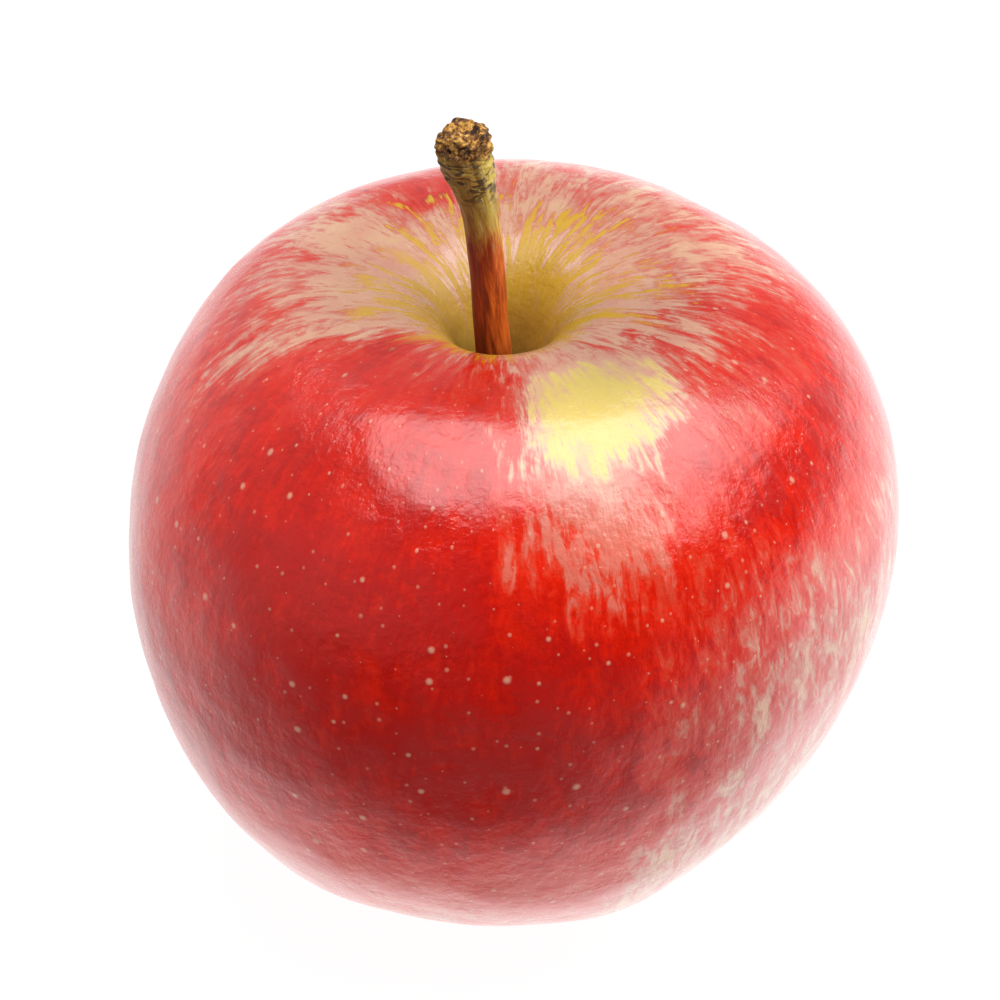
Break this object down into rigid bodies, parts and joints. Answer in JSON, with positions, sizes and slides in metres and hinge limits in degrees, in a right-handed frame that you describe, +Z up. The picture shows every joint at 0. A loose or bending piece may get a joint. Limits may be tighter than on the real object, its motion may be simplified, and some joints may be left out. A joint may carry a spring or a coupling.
{
  "type": "apple",
  "caption": "Whole ripe apple with its stalk and the dried flower in its base, standing on the lobes of its base.",
  "frame": {"origin": "on the surface that the apple stands on, under the middle of the fruit's box", "axes": "+Z up through the core towards the stalk; -Y is the side with the pale yellow patch below the stalk's hollow"},
  "size_m": [0.0734, 0.0746, 0.0791],
  "materials": {
    "skin": "waxy gloss",
    "stalk": "dull bark",
    "sepal": "dry and matt",
    "stamen": "dry and matt"
  },
  "bodies": {
    "root": {"fruit": "skin", "stem": "stalk", "sepal_1": "sepal", "sepal_2": "sepal", "sepal_3": "sepal", "sepal_4": "sepal", "sepal_5": "sepal", "stamens": "stamen"}
  },
  "joints": []
}
